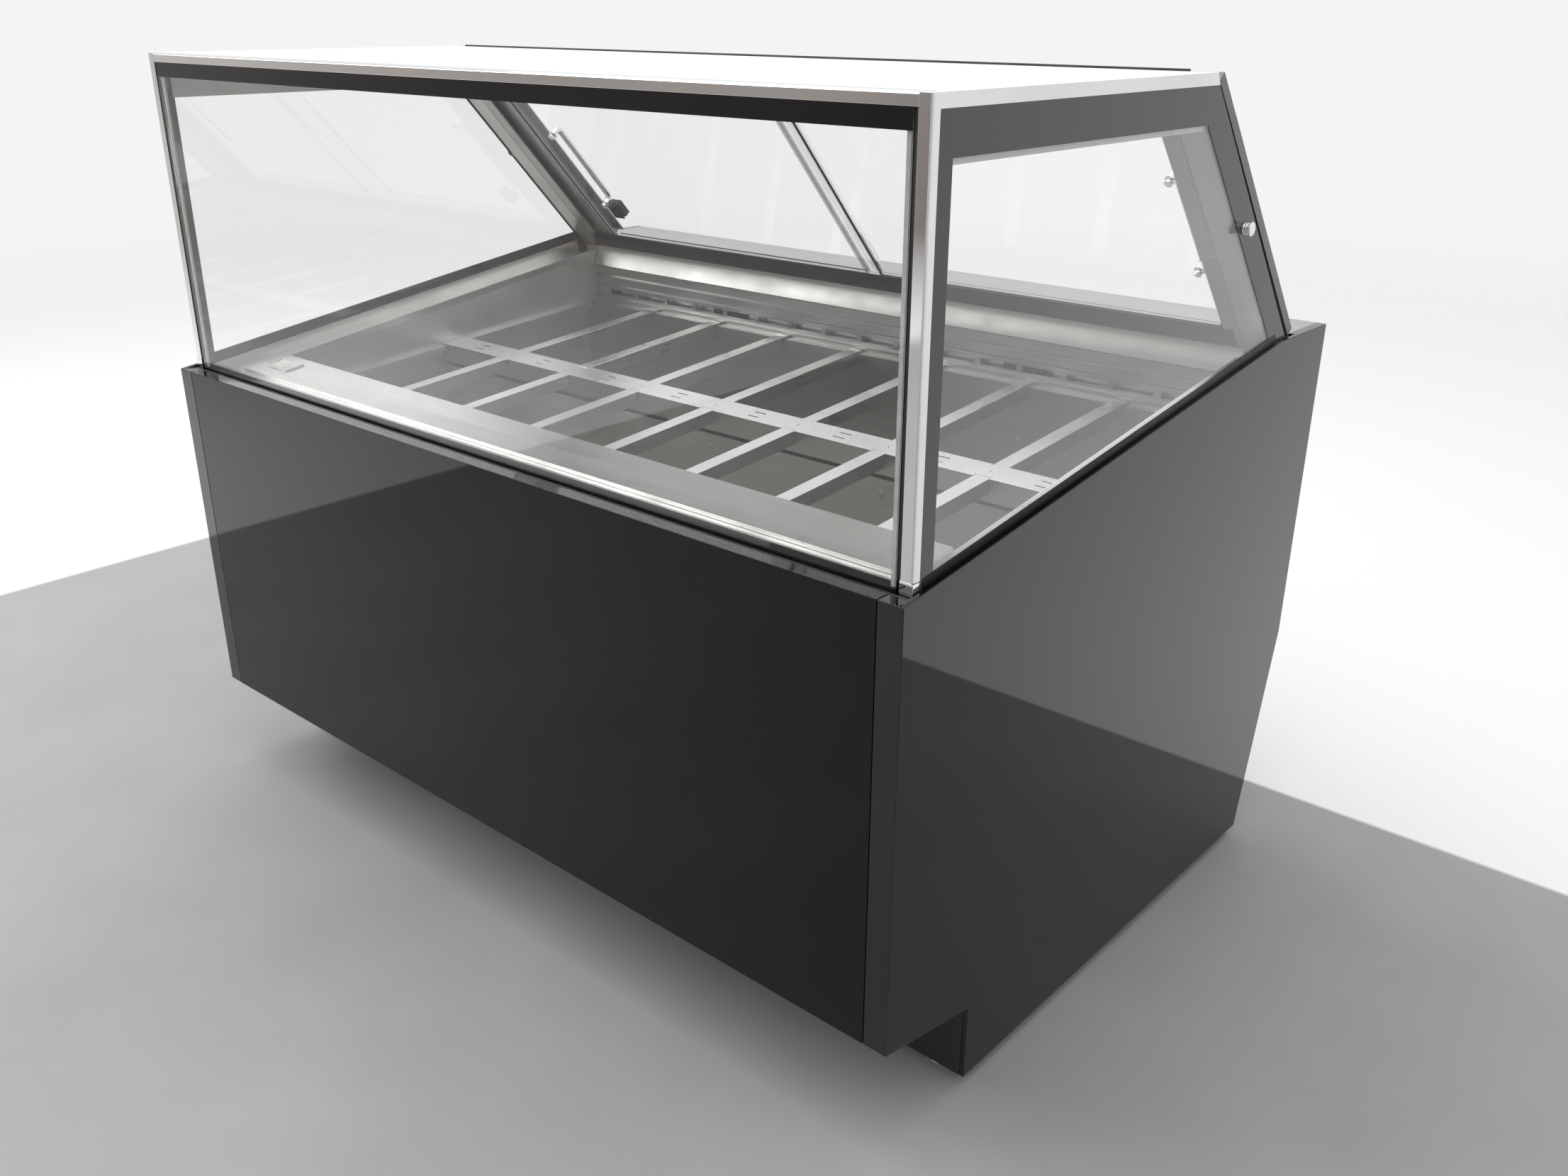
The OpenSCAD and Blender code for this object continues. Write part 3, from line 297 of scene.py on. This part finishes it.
# Painted shade: a darker copy of the brushed stainless, standing in for the dimmer reflections on the
# worktop
SHADED_WORKTOP_STEEL = brushed("worktop_stainless_painted_shade", (0.52, 0.515, 0.50), 0.36, "x")
TUB_STEEL = brushed("tub_stainless", (0.84, 0.84, 0.815), 0.48, "x")
DUCT_STEEL = brushed("duct_stainless", (0.50, 0.495, 0.48), 0.34, "x")
FRAME_GREY = anodised("anodised_grey_frame", (GREY_BAND, PANE_X), (DARK_BAND, None))
# Posts: the lighter band on their front faces is painted light, drawn lighter than the grey inner faces as
# the light falls on them
POST_GREY = anodised("anodised_posts_painted_light", (GREY_BAND, GROOVE_X), (LIT_FACE_BAND, PANE_X), (DARK_BAND, None))
CHROME = polished("polished_steel", (0.84, 0.84, 0.85), 0.05)
GALVANISED = polished("galvanised_sheet", (0.60, 0.62, 0.64), 0.34)
COPPER = polished("drawn_copper", (0.78, 0.42, 0.26), 0.22)
RUBBER = moulded("black_seal_rubber", (0.012, 0.012, 0.012), 0.55)
BLACK_PLASTIC = moulded("black_moulded_plastic", (0.018, 0.018, 0.018), 0.42)
WHITE_PLASTIC = moulded("white_moulded_plastic", (0.80, 0.80, 0.77), 0.42)
DIFFUSER = moulded("frosted_diffuser", (0.90, 0.90, 0.88), 0.5)
BEAD_PLASTIC = moulded("pale_glass_spacer", (0.78, 0.80, 0.77), 0.35)
CLEAR_PLASTIC = extruded("clear_seal_plastic", ((0.46, 0.47, 0.46), SEAL_LOW + 8 * MM),
                         ((0.992, 0.992, 0.988), SEAL_HIGH - 4 * MM), ((0.78, 0.78, 0.77), None))
FRONT_PANE = pane("front_pane_glass", (0, 1, 0), 1.46)
SIDE_PANE = pane("side_pane_glass", (1, 0, 0), 1.55)
DOOR_PANE = pane("door_pane_glass", REAR_NORMAL, 1.14, edge=(0.80, 0.92, 0.87))
PRINT = printed("printed_glass_border", (0.058, 0.053, 0.064), (0.004, 0.004, 0.006))
FOAM = foamed("insulation_foam", (0.78, 0.70, 0.44))

# Each node's finish and the radius its edges are broken to, in millimetres
FINISH = {
    "base_frame": (SATIN_BLACK, 1.5),
    "levelling_feet": (WHITE_PLASTIC, 0.8),
    "plinth_front": (SATIN_BLACK, 0.5),
    "front_panel": (FRONT_BLACK, 1.2),
    "side_panel_left": (SIDE_BLACK, 1.2),
    "side_panel_right": (SIDE_BLACK, 1.2),
    "rear_panel": (GREY_PAINT, 0.5),
    "rear_grille": (GREY_PAINT, 0.4),
    "rear_worktop": (SHADED_WORKTOP_STEEL, 1.5),
    "insulation_tub": (FOAM, 0),
    "tub_liner": (TUB_STEEL, 0.6),
    "well_rim": (STEEL_X, 0.5),
    "front_sill": (STEEL_X, 1.2),
    "sill_vent": (STEEL_X, 0.4),
    "glass_gasket": (RUBBER, 0.8),
    "centre_bar": (STEEL_Y, 0.7),
    "centre_partition": (TUB_STEEL, 0.5),
    "pan_dividers": (STEEL_Y, 0.7),
    "rear_duct": (DUCT_STEEL, 0.5),
    "evaporator": (GALVANISED, 0),
    "evaporator_fan_left": (BLACK_PLASTIC, 0),
    "evaporator_fan_right": (BLACK_PLASTIC, 0),
    "drain_pipe": (STEEL_Y, 0.3),
    "compressor": (SATIN_BLACK, 0),
    "condenser": (GALVANISED, 0),
    "condenser_fan_shroud": (GREY_PAINT, 0.6),
    "condenser_fan": (BLACK_PLASTIC, 0.3),
    "refrigerant_line": (COPPER, 0),
    "electric_box": (GREY_PAINT, 1.0),
    "power_inlet": (BLACK_PLASTIC, 0.6),
    "control_panel": (BLACK_PLASTIC, 0.5),
    "controller_button_up": (WHITE_PLASTIC, 0.5),
    "controller_button_down": (WHITE_PLASTIC, 0.5),
    "controller_button_set": (WHITE_PLASTIC, 0.5),
    "power_switch": (BLACK_PLASTIC, 0.6),
    "light_switch": (BLACK_PLASTIC, 0.6),
    "top_panel": (WHITE_PAINT, 0.8),
    "top_front_profile": (CHROME, 0.8),
    "corner_profile_left": (CHROME, 0.8),
    "corner_profile_right": (CHROME, 0.8),
    "side_trims": (LIT_TRIM_WHITE, 0.7),
    "front_glass": (FRONT_PANE, 0.5),
    "side_glass_left": (SIDE_PANE, 0.5),
    "side_glass_right": (SIDE_PANE, 0.5),
    "glass_borders": (PRINT, 0),
    "rear_posts": (POST_GREY, 0.8),
    "rear_header": (FRAME_GREY, 0.8),
    "door_track": (TRACK_BLACK, 0.6),
    "left_door_glass": (DOOR_PANE, 0.5),
    "left_door_stile": (FRAME_GREY, 0.6),
    "left_door_handle": (CHROME, 0.3),
    "centre_seal": (CLEAR_PLASTIC, 0.3),
    "door_lock": (SATIN_BLACK, 0.8),
    "lock_cylinder": (CHROME, 0.3),
    "right_door_glass": (DOOR_PANE, 0.5),
    "right_door_stile": (FRAME_GREY, 0.6),
    "right_door_handle": (CHROME, 0.3),
    "side_knob_left": (CHROME, 0.4),
    "side_knob_right": (CHROME, 0.4),
}

BODY_OF = {node: body for body, nodes in frame["record"]["behaviour"]["bodies"].items() for node in nodes}
SLOT_OF = {part["node"]: part["material_slot"] for part in frame["record"]["subparts"]}


# ---- CAD nodes with their finishes ------------------------------------------------------------


def placed(name, data):
    """A new object in the scene."""
    made = bpy.data.objects.new(name, data)
    bpy.context.scene.collection.objects.link(made)
    return made


def break_edges(piece, radius, sharp_deg):
    """Rounds the edges that turn by more than an angle, to a radius in millimetres."""
    bevel = piece.modifiers.new("broken_edges", "BEVEL")
    bevel.width = radius * MM
    bevel.segments = 2
    bevel.limit_method = "ANGLE"
    bevel.angle_limit = math.radians(sharp_deg)
    bevel.harden_normals = True


def softened(node, material, radius):
    """A copy of a CAD node with its sharp edges rounded, which stands for it."""
    weld = 0.002 * MM
    flat = math.radians(0.2)
    mesh = frame["nodes"][node].data.copy()
    mesh.name = node + "_soft"
    mesh.materials.clear()
    mesh.materials.append(material)
    work = bmesh.new()
    work.from_mesh(mesh)
    bmesh.ops.remove_doubles(work, verts=work.verts, dist=weld)
    bmesh.ops.dissolve_limit(work, angle_limit=flat, verts=work.verts, edges=work.edges)
    for face in work.faces:
        face.material_index = 0
        face.smooth = True
    work.to_mesh(mesh)
    work.free()
    if "custom_normal" in mesh.attributes:
        mesh.attributes.remove(mesh.attributes["custom_normal"])
    piece = placed(node + "_soft", mesh)
    break_edges(piece, radius, sharp_deg=38)
    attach(piece, BODY_OF[node])
    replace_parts(piece, node)


for node, (material, radius) in FINISH.items():
    if radius:
        softened(node, material, radius)
    else:
        for slot in frame["nodes"][node].material_slots:
            slot.material = material


# ---- Small fittings ---------------------------------------------------------------------------


def built(name, rings, material, bevel=0):
    """A mesh skinned over equal rings of points and capped at both ends, on the cabinet's body."""
    mesh = bpy.data.meshes.new(name)
    work = bmesh.new()
    rows = [[work.verts.new(point) for point in ring] for ring in rings]
    count = len(rows[0])
    for low, high in zip(rows, rows[1:]):
        for i in range(count):
            j = (i + 1) % count
            work.faces.new((low[i], low[j], high[j], high[i]))
    work.faces.new(reversed(rows[0]))
    work.faces.new(rows[-1])
    bmesh.ops.recalc_face_normals(work, faces=work.faces)
    for face in work.faces:
        face.smooth = True
    work.to_mesh(mesh)
    work.free()
    mesh.materials.append(material)
    piece = placed(name, mesh)
    if bevel:
        break_edges(piece, bevel, sharp_deg=30)
    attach(piece, "cabinet")
    return piece


def directions(normal):
    """A unit normal and two directions across it, the first as level as can be."""
    normal = Vector(normal).normalized()
    level = Vector((0, 0, 1)).cross(normal)
    level = level.normalized() if level.length > 0.01 else Vector((1, 0, 0))
    return normal, level, normal.cross(level)


def lathe(name, centre, normal, profile, material, sides=24, hexed=()):
    """A turned piece: profile rows are (radius, height) in mm, and rows in hexed are six-sided."""
    normal, across, up = directions(normal)
    rings = []
    for row, (radius, height) in enumerate(profile):
        ring = []
        for i in range(sides):
            turn = math.tau * i / sides
            reach = radius
            if row in hexed:
                reach *= math.cos(math.pi / 6) / math.cos(turn % (math.pi / 3) - math.pi / 6)
            ring.append(Vector(centre) + normal * height * MM
                        + (across * math.cos(turn) + up * math.sin(turn)) * reach * MM)
        rings.append(ring)
    return built(name, rings, material)


def swept(name, outline, start, end, axes, material, slot, bevel=0):
    """An outline in mm, drawn in two axes and drawn out from a start to an end point."""
    first, second = (Vector(axis) for axis in axes)
    rings = []
    for point in (start, end):
        rings.append([Vector(point) + first * u * MM + second * v * MM for u, v in outline])
    return built(name, rings, material, bevel)


# Radius and height of a pan head and its hexagonal socket, in millimetres
SCREW_HEAD = [(3.4, -0.3), (3.4, 0.5), (3.0, 1.2), (2.2, 1.6), (1.5, 1.7), (1.4, 0.4)]
SOCKET_ROWS = (4, 5)


def add_screw(name, centre, normal, scale):
    """A chromed screw, bigger or smaller by scale."""
    profile = [(radius * scale, height * scale) for radius, height in SCREW_HEAD]
    lathe(name, centre, normal, profile, CHROME, hexed=SOCKET_ROWS)


def screw_grid(name, node, inset, columns, scale=1.0):
    """Screws in two rows along the top and bottom edges of a node's rear face, inset in mm."""
    low, high = box_of(node)
    inset *= MM
    step = (high.x - low.x - 2 * inset) / (columns - 1)
    for i in range(columns):
        for k, z in enumerate((low.z + inset, high.z - inset)):
            add_screw(f"{name}_{i}_{k}", (low.x + inset + i * step, high.y, z), (0, 1, 0), scale)


def add_louvres():
    """Pressed hoods over the slots in the rear grille, placed as the CAD places its slots."""
    slot_starts = (-0.62, -0.21, 0.20)
    slot_length = 0.39
    overlap = 1 * MM
    rows = 11
    row_pitch = 20 * MM
    first_top = 78.4 * MM
    thickness = 2 * MM
    low, high = box_of("rear_grille")
    rise = Vector((0, high.y - low.y - thickness, high.z - low.z)).normalized()
    out = Vector((0, rise.z, -rise.y))
    foot = Vector((0, low.y + thickness, low.z))
    hood = [(0, 0), (3.2, -4.2), (3.9, -8.6), (3.3, -8.8), (2.6, -4.8), (0, -1.2)]
    for column, x in enumerate(slot_starts):
        for row in range(rows):
            place = foot + rise * (first_top + row_pitch * row)
            ends = [place + Vector((end, 0, 0)) for end in (x - overlap, x + slot_length + overlap)]
            swept(f"louvre_{column}_{row}", hood, *ends, (out, rise), GREY_PAINT, SLOT_OF["rear_grille"])


def add_lamp():
    """Aluminium channel with a domed diffuser and two end caps, in place of the plain lamp."""
    wall = 1.4
    skirt = -3
    dome_gap = 0.2
    dome_lip = 1
    dome_drop = 6.5
    dome_steps = 12
    cap_foot = -9
    cap_chamfer = 3
    cap_length = 6 * MM
    low, high = box_of("lamp_bar")
    middle = (low + high) / 2
    half = (high.y - low.y) / 2 / MM
    top = (high.z - middle.z) / MM
    ends = [Vector((x, middle.y, middle.z)) for x in (low.x, high.x)]
    axes = ((0, 1, 0), (0, 0, 1))
    slot = SLOT_OF["lamp_bar"]
    channel = [(-half, top), (-half, skirt), (-half + wall, skirt), (-half + wall, top - wall),
               (half - wall, top - wall), (half - wall, skirt), (half, skirt), (half, top)]
    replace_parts(swept("lamp_channel", channel, *ends, axes, FRAME_GREY, slot), "lamp_bar")
    dome = []
    dome_reach = half - wall - dome_gap
    for step in range(dome_steps + 1):
        turn = math.pi * step / dome_steps
        dome.append((dome_reach * math.cos(turn), skirt + dome_lip - dome_drop * math.sin(turn)))
    swept("lamp_diffuser", dome, *ends, axes, DIFFUSER, slot)
    cap = [(-half, top), (-half, cap_foot + cap_chamfer), (-half + cap_chamfer, cap_foot),
           (half - cap_chamfer, cap_foot), (half, cap_foot + cap_chamfer), (half, top)]
    for side, end, inward in zip(("left", "right"), ends, (1, -1)):
        inner = end + Vector((cap_length * inward, 0, 0))
        swept(f"lamp_cap_{side}", cap, end, inner, axes, WHITE_PLASTIC, slot, bevel=0.8)


def add_corner_beads():
    """Pale spacer behind each upright edge of the front glass, up to the printed band."""
    inset = 9 * MM
    seat = 22 * MM
    band = 21 * MM
    low, high = box_of("front_glass")
    outline = [(-1, 0.2), (4.5, 0.2), (4.5, 3), (3.5, 4), (0, 4), (-1, 3)]
    for side, turn in (("left", -1), ("right", 1)):
        edge = (high.x - inset) * turn
        start = Vector((edge, high.y, low.z + seat))
        end = Vector((edge, high.y, high.z - band))
        swept(f"corner_bead_{side}", outline, start, end, ((turn, 0, 0), (0, 1, 0)),
              BEAD_PLASTIC, SLOT_OF["glass_gasket"], bevel=0.4)


def add_print():
    """The printed borders, laid on the outer faces of the panes, where the light reaches them."""
    node = "glass_borders"
    lift = 0.45 * MM
    low, high = box_of("side_glass_right")
    shift = high.x - low.x + lift
    mesh = frame["nodes"][node].data.copy()
    for vertex in mesh.vertices:
        on_side_pane = abs(vertex.co.x) > low.x - MM
        if on_side_pane:
            vertex.co.x += math.copysign(shift, vertex.co.x)
        else:
            vertex.co.y -= shift
    mesh.materials.clear()
    mesh.materials.append(PRINT)
    for face in mesh.polygons:
        face.material_index = 0
    piece = placed("printed_borders", mesh)
    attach(piece, "cabinet")
    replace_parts(piece, node)


def add_top_seal():
    """Black strip in the joint between the top and the rear frame."""
    inset = 30 * MM
    low, high = box_of("top_panel")
    outline = [(-2.5, -1), (2.5, -1), (2.5, 1.8), (1.5, 2.8), (-1.5, 2.8), (-2.5, 1.8)]
    ends = [Vector((x, high.y, high.z)) for x in (low.x + inset, high.x - inset)]
    swept("top_seal", outline, *ends, ((0, 1, 0), (0, 0, 1)), RUBBER, SLOT_OF["glass_gasket"], bevel=0.3)


def add_side_seals():
    """Black bead between each side pane and the casing's top edge, up its slope."""
    inset = 6 * MM
    slope_run = 887 * MM
    outline = [(0.1, -8), (1.8, -8), (1.8, 7), (1.0, 11), (0.1, 11)]
    low, high = box_of("side_glass_right")
    front_low, front_high = box_of("front_panel")
    foot = Vector((high.x, front_low.y, front_high.z))
    slope = Vector((0, slope_run, box_of("side_panel_right")[1].z - foot.z)).normalized()
    rise = Vector((0, -slope.z, slope.y))
    reaches = (low.y + inset - foot.y, slope_run - inset)
    for side, turn in (("left", -1), ("right", 1)):
        ends = [foot + slope * (reach / slope.y) for reach in reaches]
        for end in ends:
            end.x *= turn
        swept(f"side_seal_{side}", outline, *ends, ((turn, 0, 0), rise), RUBBER, SLOT_OF["glass_gasket"])


def add_display():
    """Dark window in the controller's display recess."""
    left = -89.5
    right = -20.5
    bottom = -3.5
    top = 25.5
    recess = 0.9 * MM
    thickness = 0.6 * MM
    low, high = box_of("control_panel")
    middle = (low + high) / 2
    outline = [(left, bottom), (right, bottom), (right, top), (left, top)]
    ends = [Vector((middle.x, y, middle.z)) for y in (high.y - recess, high.y - recess + thickness)]
    swept("display_window", outline, *ends, ((1, 0, 0), (0, 0, 1)),
          FRONT_BLACK, SLOT_OF["control_panel"], bevel=0.2)


def add_drain_strainer():
    """Domed strainer ring over the tub's drain."""
    low, high = box_of("drain_pipe")
    centre = ((low.x + high.x) / 2, (low.y + high.y) / 2, high.z)
    profile = [(22, 0.2), (22, 1.2), (20, 2.2), (16, 2.6), (15, 2.0), (14.6, 0.4)]
    lathe("drain_strainer", centre, (0, 0, 1), profile, STEEL_X, sides=40)


screw_grid("rear_panel_screw", "rear_panel", 20, 5)
screw_grid("control_panel_screw", "control_panel", 6, 2, scale=0.8)
add_louvres()
add_lamp()
add_corner_beads()
add_print()
add_top_seal()
add_side_seals()
add_display()
add_drain_strainer()


# ---- Stage, light and camera ------------------------------------------------------------------


def floor_material():
    """Grey floor up to a left and a rear line, white beyond them, which fades out far away."""
    left_line = (-1.90, -1.88)
    rear_line = (0.63, 0.64)
    fade = (5.0, 7.5)
    white = (0.93, 0.93, 0.93)
    dark_grey = (0.345, 0.34, 0.335)
    light_grey = (0.395, 0.39, 0.385)
    s = Shader("studio_floor").set(Specular_IOR_Level=0.3)
    s.material.surface_render_method = "BLENDED"
    axes = s.axes()
    right_of_line = s.spread(axes["X"], 0, 1, *left_line)
    before_line = s.spread(axes["Y"], 1, 0, *rear_line)
    inside = s.arithmetic("MULTIPLY", right_of_line, before_line)
    grey = s.blend(s.spread(s.noise(2, detail=8), 0, 1), dark_grey, light_grey)
    s.link(s.blend(inside, white, grey), "Base Color")
    s.link(s.spread(s.noise(3, detail=6), 0.45, 0.62), "Roughness")
    away = s.node("ShaderNodeVectorMath", operation="LENGTH")
    s.join(s.coords, away.inputs[0])
    s.link(s.spread(away.outputs["Value"], 1, 0, *fade), "Alpha")
    return s.material


def add_floor():
    """Studio floor; its grey part ends at the photograph's left and rear floor lines."""
    half = 8
    mesh = bpy.data.meshes.new("floor")
    corners = [(-half, -half, 0), (half, -half, 0), (half, half, 0), (-half, half, 0)]
    mesh.from_pydata(corners, [], [(0, 1, 2, 3)])
    mesh.materials.append(floor_material())
    placed("floor", mesh)


def add_world():
    """White studio, with a dim warm room on the customer's side, from eye level down."""
    studio = (0.90, 0.905, 0.91)
    lit_room = (0.54, 0.50, 0.465)
    dim_room = (0.14, 0.125, 0.115)
    side_edge = (-0.22, -0.55)
    top_edge = (0.42, 0.16)
    world = bpy.data.worlds.new("studio")
    world.use_nodes = True
    nodes = Nodes(world.node_tree, "Generated")
    axes = nodes.axes()
    forward = nodes.spread(axes["Y"], 0, 1, *side_edge, "SMOOTHSTEP")
    low_down = nodes.spread(axes["Z"], 0, 1, *top_edge, "SMOOTHSTEP")
    patches = nodes.spread(nodes.noise(2.5, detail=0), 0, 1, 0.25, 0.75, "SMOOTHSTEP")
    room = nodes.blend(patches, lit_room, dim_room)
    surround = nodes.blend(nodes.arithmetic("MULTIPLY", forward, low_down), studio, room)
    nodes.join(surround, nodes.tree.nodes["Background"].inputs["Color"])
    bpy.context.scene.world = world


def add_softbox(name, place, target, size, watts):
    light = bpy.data.lights.new(name, "AREA")
    light.shape = "RECTANGLE"
    light.size, light.size_y = size
    light.energy = watts
    lamp = placed(name, light)
    lamp.location = place
    lamp.rotation_euler = (Vector(target) - Vector(place)).to_track_quat("-Z", "Y").to_euler()


def add_camera():
    """The photograph's view: a 32 mm lens, 22.8 degrees down, from the cabinet's right front."""
    place = (1.5072, -1.5732, 1.2987)
    look = (-0.6075, 0.6936, -0.3872)
    roll_deg = 0.22
    camera = bpy.data.cameras.new("camera")
    camera.sensor_width = 36
    camera.lens = 31.9
    camera.clip_start = 0.05
    turn = Vector(look).to_track_quat("-Z", "Y").to_matrix()
    eye = placed("camera", camera)
    eye.location = place
    eye.rotation_euler = (turn @ Matrix.Rotation(math.radians(roll_deg), 3, "Z")).to_euler()
    bpy.context.scene.camera = eye


add_floor()
add_world()
add_softbox("top_softbox", (-0.4, -0.4, 3.4), (-0.2, -0.1, 0.8), (3.4, 2.6), 50)
add_softbox("left_softbox", (-2.6, -2.4, 2.4), (-0.2, -0.4, 0.6), (2.2, 2.0), 55)
add_camera()
bpy.context.scene.view_settings.view_transform = "Standard"
